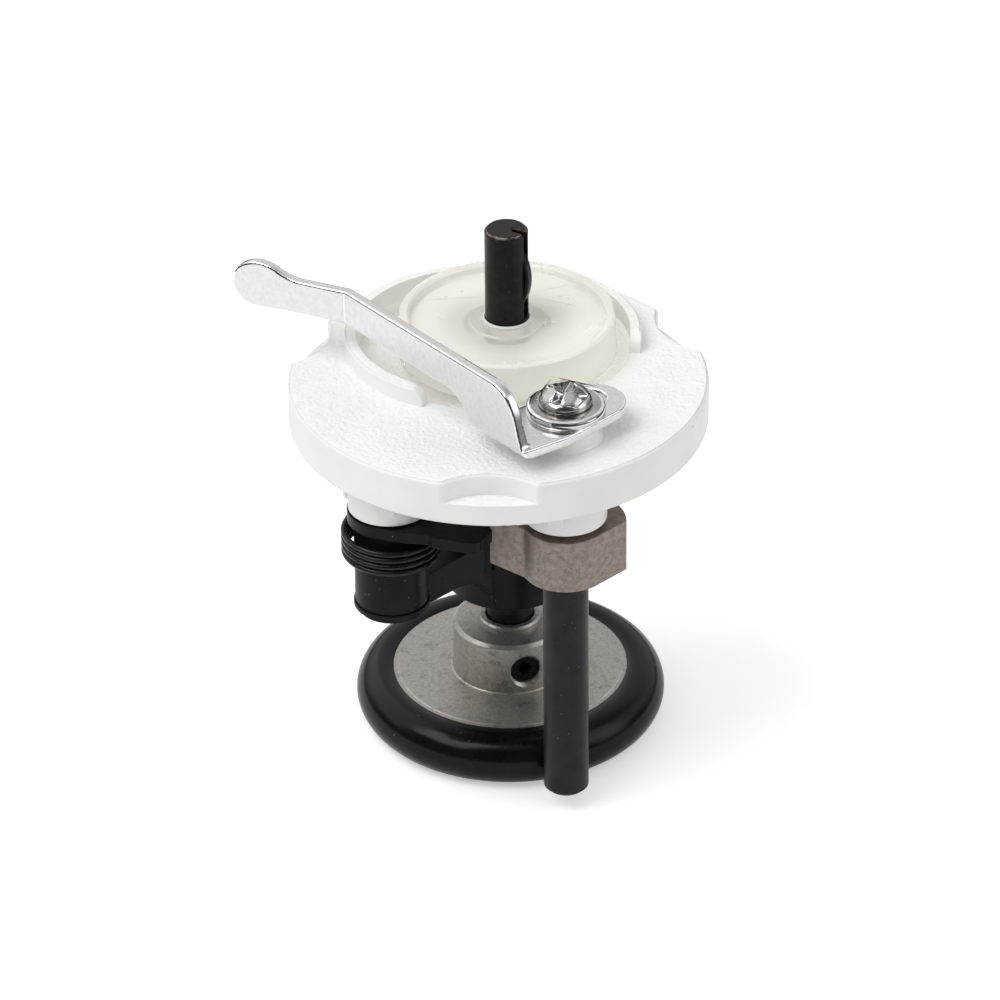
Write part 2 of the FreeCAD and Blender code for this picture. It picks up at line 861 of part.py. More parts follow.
def make_bobbin_clip():
    width = slot_width - 2 * clip_side_gap
    outer_x = spindle_radius + clip_proud
    across = direction(clip_turn + 90) * width
    low = clip_bulge_height - clip_half_length + clip_eye_radius
    high = clip_bulge_height + clip_half_length
    leaf = closed_face(
        (outer_x - clip_sagitta, low),
        [((outer_x, clip_bulge_height), (outer_x - clip_sagitta, high)),
         (outer_x - clip_sagitta - clip_thickness, high),
         ((outer_x - clip_thickness, clip_bulge_height), (outer_x - clip_sagitta - clip_thickness, low))],
        clip_point)
    leaf.translate(across * -0.5)
    clip = leaf.extrude(across)
    clip = clip.fuse(clip_cross(clip_eye_radius, width))
    return clip.cut(clip_cross(clip_pin_radius + running_gap, width))


def make_bobbin_table():
    bore = journal_radius + press_gap
    inner_rim = table_radius - table_rim_wall
    profile = [
        (bore, 0),
        (table_seat_radius, 0),
        (table_seat_radius + table_seat_rise, -table_seat_rise),
        (inner_rim - table_seat_rise, -table_seat_rise),
        (inner_rim, 0),
        (inner_rim, table_rim_height - table_rim_chamfer),
        (inner_rim + table_rim_chamfer, table_rim_height),
        (table_radius - table_rim_chamfer, table_rim_height),
        (table_radius, table_rim_height - table_rim_chamfer),
        (table_skirt_radius, -table_skirt_drop + table_rim_chamfer),
        (table_skirt_radius - table_rim_chamfer, -table_skirt_drop),
        (table_skirt_radius - table_skirt_wall, -table_skirt_drop),
        (table_radius - table_skirt_wall, -table_floor - table_rim_chamfer),
        (table_radius - table_skirt_wall - table_rim_chamfer, -table_floor),
        (table_boss_radius, -table_floor),
        (table_boss_radius, -table_boss_drop),
        (bore, -table_boss_drop),
    ]
    return turned(profile)


def make_table_sleeve():
    low = carrier_top + end_gap
    high = -table_boss_drop
    return rod(sleeve_radius, low, high).cut(rod(journal_radius + press_gap, low, high))


def make_wheel_sleeve():
    return rod(sleeve_radius, hub_top, carrier_bottom - end_gap).cut(
        rod(journal_radius + press_gap, hub_top, carrier_bottom - end_gap))


def make_drive_wheel():
    bore = journal_radius + press_gap
    nose_top = hub_top + nose_height
    half = disc_thickness / 2
    reach = math.sqrt(tyre_section_radius ** 2 - half ** 2)
    edge = tyre_ring_radius - reach
    disc_bottom = disc_top - disc_thickness
    groove = tyre_section_radius + tyre_groove_gap
    steps = [
        (sleeve_radius + press_gap, hub_top),
        (sleeve_radius + press_gap, nose_top - nose_chamfer),
        (sleeve_radius + press_gap + nose_chamfer, nose_top),
        (nose_radius - nose_chamfer, nose_top),
        (nose_radius, nose_top - nose_chamfer),
        (nose_radius, hub_top),
        (hub_radius - hub_chamfer, hub_top),
        (hub_radius, hub_top - hub_chamfer),
        (hub_radius, disc_top + disc_fillet),
        ((hub_radius + disc_fillet * (1 - math.cos(math.pi / 4)),
          disc_top + disc_fillet * (1 - math.sin(math.pi / 4))), (hub_radius + disc_fillet, disc_top)),
        (edge, disc_top),
        ((tyre_ring_radius - groove, disc_middle), (edge, disc_bottom)),
        (under_recess_outer, disc_bottom),
        (under_recess_outer, disc_bottom + under_recess_depth),
        (under_recess_inner, disc_bottom + under_recess_depth),
        (under_recess_inner, disc_bottom),
        (bore, disc_bottom),
    ]
    face = closed_face((bore, hub_top), steps, lambda point: Vector(point[0], 0, point[1]))
    wheel = face.revolve(Vector(0, 0, 0), Vector(0, 0, 1), 360)
    along = direction(wheel_screw_angle)
    axis = Vector(0, 0, wheel_screw_z)
    hole = cross_rod(wheel_screw_radius + press_gap, axis, along, hub_radius + hub_chamfer)
    mouth_depth = screw_hole_chamfer + hub_radius - math.sqrt(hub_radius ** 2 - wheel_screw_radius ** 2)
    mouth = Part.makeCone(wheel_screw_radius, wheel_screw_radius + mouth_depth, mouth_depth,
                          axis + along * (hub_radius - mouth_depth), along)
    return wheel.cut(hole).cut(mouth)


def set_screw(radius, start, along, length):
    screw = cross_rod(radius, start, along, length)
    socket_start = start + along * (length - socket_depth)
    return screw.cut(hexagon(socket_radius, socket_start, along, socket_depth))


def make_wheel_screw():
    along = direction(wheel_screw_angle)
    inner = journal_radius + press_gap
    start = Vector(0, 0, wheel_screw_z) + along * inner
    return set_screw(wheel_screw_radius, start, along, hub_radius - set_screw_inset - inner)


def make_tyre():
    return Part.makeTorus(tyre_ring_radius, tyre_section_radius, Vector(0, 0, disc_middle), Vector(0, 0, 1))


# Trip lever
def fold_point(point):
    # A point at a distance along the strip's front face, and a height.
    along = direction(fold_angle)
    return Vector(fold_x + along.x * point[0], fold_y + along.y * point[0], point[1])


def inward():
    # From the strip's front face towards the spindle.
    return direction(fold_angle - 90)


def lever_foot():
    start = fold_point((-fold_reach, 0.0))
    back = fold_point((fold_width, 0.0))
    end = (foot_end_x, foot_end_y)
    tip = place(end, foot_tip_angle, foot_end_radius)
    right = place(end, foot_right_angle, foot_end_radius)
    left = place(end, foot_left_angle, foot_end_radius)
    bow = ((start.x + foot_bow_x) / 2 + foot_bow_right, (start.y + foot_bow_y) / 2 - foot_bow_front)
    steps = [
        bow,
        ((foot_bow_x, foot_bow_y), (right.x, right.y)),
        ((tip.x, tip.y), (left.x, left.y)),
        (back.x, back.y),
    ]
    foot = extruded(closed_face((start.x, start.y), steps, flat_point), foot_bottom, foot_top)
    slot = slot_bar(foot_slot_radius, foot_bottom, foot_top, shaft, (foot_slot_end_x, foot_slot_end_y))
    return foot.cut(slot)


def lever_upright():
    # The strip's end leans, and an arc that it touches rounds it into the top.
    lean = math.radians(upright_lean)
    centre_z = arm_top - upright_round
    centre_x = (upright_round + (centre_z - foot_bottom) * math.sin(lean)) / math.cos(lean) - fold_reach
    half = math.radians(135 - upright_lean / 2)
    steps = [
        (centre_x - upright_round * math.cos(lean), centre_z + upright_round * math.sin(lean)),
        ((centre_x + upright_round * math.cos(half), centre_z + upright_round * math.sin(half)),
         (centre_x, arm_top)),
        (arm_length, arm_top),
        (arm_length, arm_bottom),
        (upright_width + upright_sweep, arm_bottom),
        ((upright_width + upright_sweep * sweep_along, arm_bottom - (arm_bottom - foot_bottom) * sweep_fall),
         (upright_width, foot_bottom)),
    ]
    face = closed_face((-fold_reach, foot_bottom), steps, fold_point)
    return face.extrude(inward() * lever_thickness)


def inner_fold():
    # Fills the inside of the fold to a hollow curve.
    corner = fold_point((0.0, foot_top)) + inward() * lever_thickness
    middle = fold_hollow * (1 - math.sin(math.pi / 4))
    face = closed_face(
        (-press_gap, -press_gap),
        [(fold_hollow, -press_gap), (fold_hollow, 0.0), ((middle, middle), (0.0, fold_hollow)),
         (-press_gap, fold_hollow)],
        lambda point: corner + inward() * point[0] + Vector(0, 0, point[1]))
    return face.extrude(direction(fold_angle) * (fold_width - fold_hollow))


def handle_point(point):
    crease = fold_point((arm_length, arm_bottom))
    return crease + direction(fold_angle + handle_bend) * point[0] + Vector(0, 0, point[1])


def lever_handle():
    shoulder = math.radians(handle_shoulder_angle)
    tip = handle_reach - handle_tip_radius
    steps = [
        (0.0, arm_height),
        (handle_neck, arm_height),
        (handle_hollow, handle_rise),
        (handle_crown, (tip + handle_tip_radius * math.cos(shoulder),
                        handle_tip_height + handle_tip_radius * math.sin(shoulder))),
        ((handle_reach, handle_tip_height), (tip, handle_tip_height - handle_tip_radius)),
        ((tip / 2, handle_sag), (0.0, 0.0)),
    ]
    face = closed_face((0.0, 0.0), steps, handle_point)
    return face.extrude(direction(fold_angle + handle_bend - 90) * lever_thickness)


def fold_edges(lever):
    # The outer edge of the fold, at the foot of the strip's front face.
    along = direction(fold_angle)
    corner = Vector(fold_x, fold_y, foot_bottom)
    found = []
    for edge in edges_at_height(lever, foot_bottom):
        ends = [vertex.Point - corner for vertex in edge.Vertexes]
        if all(abs(end.cross(along).Length) < press_gap for end in ends):
            found.append(edge)
    return found


def make_trip_lever():
    crease = fold_point((arm_length, 0.0))
    lever = lever_foot().fuse(lever_upright()).removeSplitter()
    lever = lever.makeFillet(fold_round, fold_edges(lever)).fuse(inner_fold())
    lever = lever.fuse(lever_handle())
    bend = rod(lever_thickness, arm_bottom, arm_top, (crease.x, crease.y))
    outer = direction(fold_angle + handle_bend / 2 - 90) * lever_thickness
    wedge = closed_face(
        (crease.x, crease.y),
        [(crease.x + inward().x * lever_thickness, crease.y + inward().y * lever_thickness),
         (crease.x + 2 * outer.x, crease.y + 2 * outer.y),
         (crease.x + direction(fold_angle + handle_bend - 90).x * lever_thickness,
          crease.y + direction(fold_angle + handle_bend - 90).y * lever_thickness)],
        flat_point)
    lever = lever.fuse(bend.common(extruded(wedge, arm_bottom, arm_top)))
    return lever.removeSplitter()


def make_lever_shaft():
    top = foot_bottom
    shaft_solid = turned([
        (0, top), (shaft_journal_radius, top), (shaft_journal_radius, cam_bottom),
        (shaft_radius, cam_bottom), (shaft_radius, shaft_bottom + shaft_chamfer),
        (shaft_radius - shaft_chamfer, shaft_bottom), (0, shaft_bottom)], shaft)
    return shaft_solid.cut(rod(shaft_thread_radius, top - shaft_thread_depth, top, shaft))


def make_lever_washer():
    high = foot_top + washer_thickness
    centre = (shaft_x + washer_shift_x, shaft_y + washer_shift_y)
    washer = rod(washer_radius, foot_top, high, centre)
    washer = washer.makeChamfer(washer_thickness / 4, edges_at_height(washer, high))
    return washer.cut(rod(washer_bore, foot_top, high, centre))


def screw_recess(head_high):
    # Four wings that run up to the head's rim, and a cone in the middle.
    low = head_high - screw_cross_depth
    clear = head_high + screw_cross_depth
    wing = closed_face(
        (-screw_cross_reach, clear),
        [(-screw_cross_reach, low + screw_cross_rise), (-screw_cross_foot, low), (screw_cross_foot, low),
         (screw_cross_reach, low + screw_cross_rise), (screw_cross_reach, clear)],
        radial_point).extrude(Vector(0, screw_cross_width, 0))
    wing.translate(Vector(0, -screw_cross_width / 2, 0))
    across = wing.copy()
    across.rotate(Vector(0, 0, 0), Vector(0, 0, 1), 90)
    core = Part.makeCone(screw_cross_foot, screw_cross_core, screw_cross_depth, Vector(0, 0, low))
    recess = wing.fuse(across).fuse(core)
    recess.rotate(Vector(0, 0, 0), Vector(0, 0, 1), screw_cross_turn)
    recess.translate(Vector(shaft_x, shaft_y, 0))
    return recess


def make_lever_screw():
    low = foot_top + washer_thickness
    side_top = low + screw_head_side
    head_high = side_top + screw_dome_height
    dome_radius = (screw_head_radius ** 2 + screw_dome_height ** 2) / (2 * screw_dome_height)
    reach = screw_head_radius / 2
    middle = head_high - dome_radius + math.sqrt(dome_radius ** 2 - reach ** 2)
    head = turned_face(
        (0.0, low),
        [(screw_head_radius, low), (screw_head_radius, side_top), ((reach, middle), (0.0, head_high))],
        shaft)
    head = head.makeFillet(screw_head_round, edges_at_height(head, side_top) + edges_at_height(head, low))
    screw = head.fuse(rod(screw_shank_radius, low - screw_shank_length, low, shaft))
    return screw.cut(screw_recess(head_high))


def make_cam():
    # A flat runs from the round front to the lobe's corner and touches the round.
    flat_angle = cam_lobe_start - math.degrees(math.acos(cam_radius / cam_lobe_radius))
    wing_root = place(shaft, cam_wing_root, cam_radius)
    flat_start = place(shaft, flat_angle, cam_radius)
    front = place(shaft, (cam_wing_root + flat_angle + 360) / 2, cam_radius)
    lobe_start = place(shaft, cam_lobe_start, cam_lobe_radius)
    lobe_middle = place(shaft, (cam_lobe_start + cam_lobe_end) / 2, cam_lobe_radius)
    lobe_end = place(shaft, cam_lobe_end, cam_lobe_radius)
    wing_start = place(shaft, cam_wing_start, cam_wing_radius)
    wing_middle = place(shaft, (cam_wing_start + cam_wing_end) / 2, cam_wing_radius)
    wing_end = place(shaft, cam_wing_end, cam_wing_radius)
    steps = [
        ((front.x, front.y), (flat_start.x, flat_start.y)),
        (lobe_start.x, lobe_start.y),
        ((lobe_middle.x, lobe_middle.y), (lobe_end.x, lobe_end.y)),
        (wing_start.x, wing_start.y),
        ((wing_middle.x, wing_middle.y), (wing_end.x, wing_end.y)),
    ]
    face = closed_face((wing_root.x, wing_root.y), steps, flat_point)
    cam = extruded(face, cam_bottom, cam_top)
    root = [edge for edge in cam.Edges
            if edge.BoundBox.ZLength > cam_height / 2
            and flat_point(edge.Vertexes[0].Point).distanceToPoint(wing_root) < press_gap]
    cam = cam.makeFillet(cam_root_round, root)
    cam = cam.cut(rod(shaft_journal_radius + press_gap, cam_bottom, cam_top, shaft))
    along = direction(cam_screw_angle)
    axis = Vector(shaft_x, shaft_y, (cam_top + cam_bottom) / 2)
    return cam.cut(cross_rod(cam_screw_radius + press_gap, axis, along, cam_lobe_radius + 1))


def make_cam_screw():
    along = direction(cam_screw_angle)
    inner = shaft_journal_radius + press_gap
    start = Vector(shaft_x, shaft_y, (cam_top + cam_bottom) / 2) + along * inner
    return set_screw(cam_screw_radius, start, along, cam_lobe_radius - set_screw_inset - inner)


def write_parts(nodes):
    os.makedirs("parts", exist_ok=True)
    for name, solid in nodes.items():
        if solid.ShapeType == "Compound" and len(solid.Solids) == 1:
            solid = solid.Solids[0]
        if not solid.isValid() or len(solid.Solids) != 1:
            print("check", name, solid.isValid(), len(solid.Solids))
        solid.exportStep("parts/" + name + ".step")


write_parts({
    "base_plate": make_base_plate(),
    "lever_bush": make_lever_bush(),
    "arm_pivot_pin": make_pivot_pin(),
    "pivot_washer": make_pivot_washer(),
    "pivot_clip_ring": make_clip_ring(),
    "swing_arm": make_swing_arm(),
    "upper_spindle_bush": make_bush(carrier_top - bush_length),
    "lower_spindle_bush": make_bush(carrier_bottom),
    "return_spring": make_return_spring(),
    "bobbin_spindle": make_spindle(),
    "bobbin_clip_pin": make_clip_pin(),
    "bobbin_clip": make_bobbin_clip(),
    "bobbin_table": make_bobbin_table(),
    "table_sleeve": make_table_sleeve(),
    "wheel_sleeve": make_wheel_sleeve(),
    "drive_wheel": make_drive_wheel(),
    "wheel_set_screw": make_wheel_screw(),
    "friction_tyre": make_tyre(),
    "lever_shaft": make_lever_shaft(),
    "trip_lever": make_trip_lever(),
    "lever_washer": make_lever_washer(),
    "lever_screw": make_lever_screw(),
    "trip_cam": make_cam(),
    "cam_set_screw": make_cam_screw(),
})
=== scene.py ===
import math

import bmesh
import bpy
from mathutils import Matrix, Vector
from mathutils.bvhtree import BVHTree


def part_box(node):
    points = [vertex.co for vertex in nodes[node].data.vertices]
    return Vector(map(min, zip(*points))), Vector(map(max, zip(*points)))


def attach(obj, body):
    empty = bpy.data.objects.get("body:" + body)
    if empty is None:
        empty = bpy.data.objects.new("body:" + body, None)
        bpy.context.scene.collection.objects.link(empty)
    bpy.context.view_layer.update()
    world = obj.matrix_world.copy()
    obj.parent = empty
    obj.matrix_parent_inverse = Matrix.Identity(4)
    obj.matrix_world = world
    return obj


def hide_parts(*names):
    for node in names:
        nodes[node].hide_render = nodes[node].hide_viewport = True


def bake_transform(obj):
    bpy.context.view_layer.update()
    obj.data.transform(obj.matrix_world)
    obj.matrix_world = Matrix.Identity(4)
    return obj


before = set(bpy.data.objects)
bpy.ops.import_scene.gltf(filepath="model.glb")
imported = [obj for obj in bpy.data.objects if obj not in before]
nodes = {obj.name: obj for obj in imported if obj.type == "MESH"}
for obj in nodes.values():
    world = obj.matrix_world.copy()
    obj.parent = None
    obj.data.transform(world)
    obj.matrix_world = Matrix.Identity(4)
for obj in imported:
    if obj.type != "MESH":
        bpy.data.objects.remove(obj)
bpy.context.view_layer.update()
mm = 0.001
print("frame loaded,", len(nodes), "nodes")


# Shader maths: a wired socket takes the usual operators
class Wire:
    def __init__(self, tree, socket):
        self.tree = tree
        self.socket = socket

    def node(self, kind, settings=None, values=None, output=0):
        made = self.tree.nodes.new(kind)
        for name, value in (settings or {}).items():
            setattr(made, name, value)
        for name, value in (values or {}).items():
            if isinstance(value, Wire):
                self.tree.links.new(value.socket, made.inputs[name])
            else:
                made.inputs[name].default_value = value
        return Wire(self.tree, made.outputs[output])

    def sum(self, operation, first, second=0.0):
        return self.node("ShaderNodeMath", {"operation": operation}, {0: first, 1: second})

    def __add__(self, other):
        return self.sum("ADD", self, other)

    def __sub__(self, other):
        return self.sum("SUBTRACT", self, other)

    def __rsub__(self, other):
        return self.sum("SUBTRACT", other, self)

    def __mul__(self, other):
        return self.sum("MULTIPLY", self, other)

    def __truediv__(self, other):
        return self.sum("DIVIDE", self, other)

    def __abs__(self):
        return self.sum("ABSOLUTE", self)

    __radd__ = __add__
    __rmul__ = __mul__

    def minus(self, amount):  # never below zero
        return self.sum("MAXIMUM", self - amount, 0.0)

    def step(self, low, high):  # 0 below low, 1 above high, smooth between
        return self.node("ShaderNodeMapRange", {"interpolation_type": "SMOOTHSTEP"},
                         {"Value": self, "From Min": low, "From Max": high})

    def least(self, other):
        return self.sum("MINIMUM", self, other)

    def most(self, other):
        return self.sum("MAXIMUM", self, other)


# A material with its principled shader, ready for patterns on object coordinates
class Finish:
    def __init__(self, name, color, **constants):
        self.material = bpy.data.materials.new(name)
        self.material.use_nodes = True
        tree = self.material.node_tree
        self.shader = tree.nodes["Principled BSDF"]
        self.shader.inputs["Base Color"].default_value = (*color, 1.0)
        for socket, value in constants.items():
            self.shader.inputs[socket.replace("_", " ")].default_value = value
        places = tree.nodes.new("ShaderNodeTexCoord")
        self.wire = Wire(tree, places.outputs["Object"])
        self.facing = Wire(tree, places.outputs["Normal"])

    def xyz(self, source=None):
        split = self.wire.node("ShaderNodeSeparateXYZ", values={0: source or self.wire})
        return [Wire(split.tree, output) for output in split.socket.node.outputs]

    def millimetres(self):
        return [axis * (1 / mm) for axis in self.xyz()]

    def noise(self, size, detail=3.0, rough=0.5, stretch=None):
        where = self.wire
        if stretch:
            where = self.wire.node("ShaderNodeMapping", values={"Vector": where, "Scale": stretch})
        return self.wire.node("ShaderNodeTexNoise", values={
            "Vector": where, "Scale": 1 / (size * mm), "Detail": detail, "Roughness": rough})

    def cells(self, size, feature="F1", smooth=0.0):
        kind = {"feature": feature}
        values = {"Vector": self.wire, "Scale": 1 / (size * mm)}
        if feature == "SMOOTH_F1":
            values["Smoothness"] = smooth
        return self.wire.node("ShaderNodeTexVoronoi", kind, values)

    def specks(self, size, share, dot):  # small dots, each cell of that size holding one at most
        near = self.cells(size)
        pick = self.xyz(Wire(near.tree, near.socket.node.outputs["Color"]))[0]
        return (1 - near.step(dot, 2.2 * dot)) * pick.step(1 - share, 1.02 - share)

    def spots(self, places):  # 1 at each place and 0 beyond its reach, which is its last number
        shown = None
        here = self.millimetres()
        for *middle, reach in places:
            away = sum((axis - number) * (axis - number) for axis, number in zip(here, middle))
            spot = 1 - away.step(0.0, reach * reach)
            shown = spot if shown is None else shown.most(spot)
        return shown

    def fromAxis(self):  # square of the distance from the spindle's axis, in millimetres
        x, y, _ = self.millimetres()
        return x * x + y * y

    def blend(self, mask, first, second):  # colours: first where the mask is 0
        def tint(color):
            return color if isinstance(color, Wire) else (*color, 1.0)
        return self.wire.node("ShaderNodeMix", {"data_type": "RGBA"},
                              {0: mask, 6: tint(first), 7: tint(second)}, output=2)

    def soften(self, radius):
        return self.wire.node("ShaderNodeBevel", {"samples": 4}, {"Radius": radius * mm})

    def bump(self, height, depth, strength, normal):
        return self.wire.node("ShaderNodeBump", values={
            "Height": height, "Distance": depth * mm, "Strength": strength, "Normal": normal})

    def set(self, **links):
        for socket, source in links.items():
            self.wire.tree.links.new(source.socket, self.shader.inputs[socket.replace("_", " ")])
        return self.material


# White moulded plastic of the cover plate: leather grain on top, smooth round the sides
def whitePlastic():
    look = {"white": (0.86, 0.865, 0.84), "shade": (0.82, 0.83, 0.80), "cloud": 9.0,
            "grain": 0.55, "grainDepth": 0.14, "fine": 0.25, "edge": 0.2,
            "dirt": (0.32, 0.28, 0.20), "dirtSize": 2.1, "dirtShare": 0.035, "dirtDot": 0.05,
            "rust": (0.42, 0.24, 0.10), "rustGrain": 0.45,
            "rustSpots": [(-9.2, -13.6, 1.1), (-7.6, -14.6, 0.5)]}
    made = Finish("white plastic", look["white"], Roughness=0.4, IOR=1.5, Emission_Strength=1.0)
    up = made.xyz(made.facing)[2].step(0.75, 0.95)
    height = made.cells(look["grain"], "SMOOTH_F1", 0.5) * 1.4 + made.noise(look["grain"] * 1.6, 2.0)
    height = up * height + made.noise(look["fine"], 2.0) * 0.15
    cloudy = made.noise(look["cloud"], 3.0).step(0.35, 0.7)
    dirt = made.specks(look["dirtSize"], look["dirtShare"], look["dirtDot"])
    rust = made.spots(look["rustSpots"]) * made.noise(look["rustGrain"], 3.0).step(0.5, 0.62)
    color = made.blend(cloudy, look["white"], look["shade"])
    color = made.blend(dirt * 0.6, color, look["dirt"])
    color = made.blend(rust * 0.7, color, look["rust"])
    rough = 0.34 + up * 0.14 + made.noise(3.0) * 0.08
    normal = made.bump(height, look["grainDepth"], 0.75, made.soften(look["edge"]))
    return made.set(Base_Color=color, Roughness=rough, Normal=normal, Emission_Color=recessGlow(made))


# Painted light: a glow on the floor of the oblong recess that stands in for the light the milky cup spreads
# there, more of it on the right
def recessGlow(made):
    recess = {"low": -6.4, "high": -4.5, "middleX": -2.0, "middleY": 0.3, "straight": 2.2, "radius": 17.1,
              "reach": 24.0, "tone": (1.0, 0.985, 0.92),
              "glow": 0.05, "lift": 0.17, "liftFrom": -8.0, "liftTo": 19.0}
    x, y, z = made.millimetres()
    aside = abs(x - recess["middleX"])
    over = aside.minus(recess["straight"])
    along = y - recess["middleY"]
    away = along * along + over * over
    floor = z.step(recess["low"], recess["low"] + 0.1) * (1 - z.step(recess["high"], recess["high"] + 0.15))
    floor = floor * (1 - aside.step(recess["reach"] - 1, recess["reach"]))
    floor = floor * (1 - away.step(recess["radius"] ** 2, (recess["radius"] + 0.15) ** 2))
    # painted light: the glow grows towards the right, where the key light leaves the recess in shade
    lit = x.step(recess["liftFrom"], recess["liftTo"]) * recess["lift"] + recess["glow"]
    return made.blend(floor * lit, (0.0, 0.0, 0.0), recess["tone"])


# Milky plastic of the cup, with faint creases in its floor drawn with painted shade, and a painted glow
# beyond a ring round the spindle, which leaves its middle duller
def milkyPlastic():
    look = {"milk": (0.95, 0.935, 0.89), "warm": (0.93, 0.91, 0.845), "cloud": 6.0, "edge": 0.2,
            "speck": (0.12, 0.08, 0.05), "specks": [(14.3, -9.0, 0.6, 0.3), (-6.3, 8.3, -0.2, 0.16)],
            # crease: colour of the painted shade along the creases, which also get a real bump
            "crease": (0.70, 0.69, 0.66), "width": 0.28, "creaseFloor": -0.6,
            "creases": [(-12.2, 5.9, -3.3, 6.6), (3.7, 6.4, 10.2, 3.5), (3.7, 7.8, 9.2, 10.0)],
            "glow": (0.060, 0.059, 0.056), "glowFrom": 6.5, "glowTo": 10.5}
    made = Finish("milky plastic", look["milk"], IOR=1.4, Transmission_Weight=0.5, Emission_Strength=1.0)
    x, y, z = made.millimetres()
    lines = None
    for startX, startY, endX, endY in look["creases"]:
        length = math.hypot(endX - startX, endY - startY)
        alongX, alongY = (endX - startX) / length, (endY - startY) / length
        travel = ((x - startX) * alongX + (y - startY) * alongY) / length
        aside = abs((x - startX) * alongY - (y - startY) * alongX)
        line = (1 - aside.step(0.0, look["width"])) * travel.step(0.0, 0.35) * (1 - travel.step(0.75, 1.0))
        lines = line if lines is None else lines.most(line)
    lines = lines * z.step(look["creaseFloor"], look["creaseFloor"] + 0.2)
    cloudy = made.noise(look["cloud"], 4.0).step(0.3, 0.7)
    color = made.blend(cloudy, look["milk"], look["warm"])
    # painted shade darkens the crease lines
    color = made.blend(lines * 0.75, color, look["crease"])
    color = made.blend(made.spots(look["specks"]) * 0.8, color, look["speck"])
    rough = 0.22 + made.noise(4.0) * 0.08
    normal = made.bump(made.noise(1.6, 2.0) - lines * 2.0, 0.04, 0.5, made.soften(look["edge"]))
    # painted light: the cup glows beyond a ring round the spindle, so only its middle stays duller
    outer = made.fromAxis().step(look["glowFrom"] ** 2, look["glowTo"] ** 2)
    glow = made.blend(outer, (0.0, 0.0, 0.0), look["glow"])
    return made.set(Base_Color=color, Roughness=rough, Normal=normal, Emission_Color=glow)


# Metals and black finishes share one recipe: two tones and a grain, then what the look names
usualLook = {"metal": 0.0, "gloss": 0.5, "cloud": 4.0, "grain": 0.3, "stretch": None, "depth": 0.02,
             "roughRange": 0.15, "edge": 0.15, "stainSize": 2.4, "stainShare": 0.7,
             "dustSize": 0.9, "dustShare": 0.1, "dustDot": 0.08}


def surface(name, given):
    look = {**usualLook, **given}
    made = Finish(name, look["tone"], Metallic=look["metal"], Roughness=look["rough"],
                  Specular_IOR_Level=look["gloss"])
    x, y, z = made.millimetres()
    cloudy = made.noise(look["cloud"], 4.0, 0.6).step(0.35, 0.68)
    color = made.blend(cloudy, look["tone"], look["second"])
    height = made.noise(look["grain"], 3.0, 0.6, look["stretch"])
    rough = look["rough"] + (height - 0.5) * look["roughRange"]
    if "stain" in look:
        stains = made.noise(look["stainSize"], 5.0, 0.65).step(0.54, 0.66)
        color = made.blend(stains * look["stainShare"], color, look["stain"])
        rough = rough - stains * 0.08
    if "pits" in look:
        pits = 1 - made.cells(look["pits"]).step(0.12, 0.34)
        pits = pits * made.noise(look["pits"] * 3).step(0.45, 0.6)
        color = made.blend(pits * 0.8, color, look["pitTone"])
        height = height - pits * 1.6
    if "wearAndHighlight" in look:  # bare metal where the rim of the pin was rubbed
        low, high = look["wornFrom"], look["wornTo"]
        rubbed = z.step(low, low + 0.25) * (1 - z.step(high, high + 0.05))
        color = made.blend(rubbed * made.noise(0.5, 3.0).step(0.42, 0.6), color, look["wearAndHighlight"])
    if "rim" in look:  # painted highlight along the edge of a disc, brighter at the front
        square = made.fromAxis()
        away = square.sum("SQRT", square)
        low, high = look["rimFrom"], look["rimTo"]
        wearAndHighlight = away.step(low, low + 0.1) * (1 - away.step(high, high + 0.05)) * (0 - y).step(-6.0, 14.0)
        color = made.blend(wearAndHighlight * made.noise(2.4, 2.0).step(0.3, 0.6), color, look["rim"])
    if "scuff" in look:  # scratches along an upright crease
        creaseX, creaseY = look["scuffPlace"]
        beside = abs(x - creaseX) + abs(y - creaseY) * 0.5
        scratched = made.noise(0.3, 3.0, 0.6, (1.0, 1.0, 0.35)).step(0.35, 0.7)
        scuffs = (1 - beside.step(0.0, look["scuffReach"])) * scratched
        color = made.blend(scuffs * 0.3, color, look["scuff"])
        rough = rough + scuffs * 0.2
    if "dust" in look:
        dust = made.specks(look["dustSize"], look["dustShare"], look["dustDot"])
        color = made.blend(dust * 0.75, color, look["dust"])
        rough = rough + dust * 0.25
    normal = made.bump(height, look["depth"], 0.5, made.soften(look["edge"]))
    return made.set(Base_Color=color, Roughness=rough, Normal=normal)


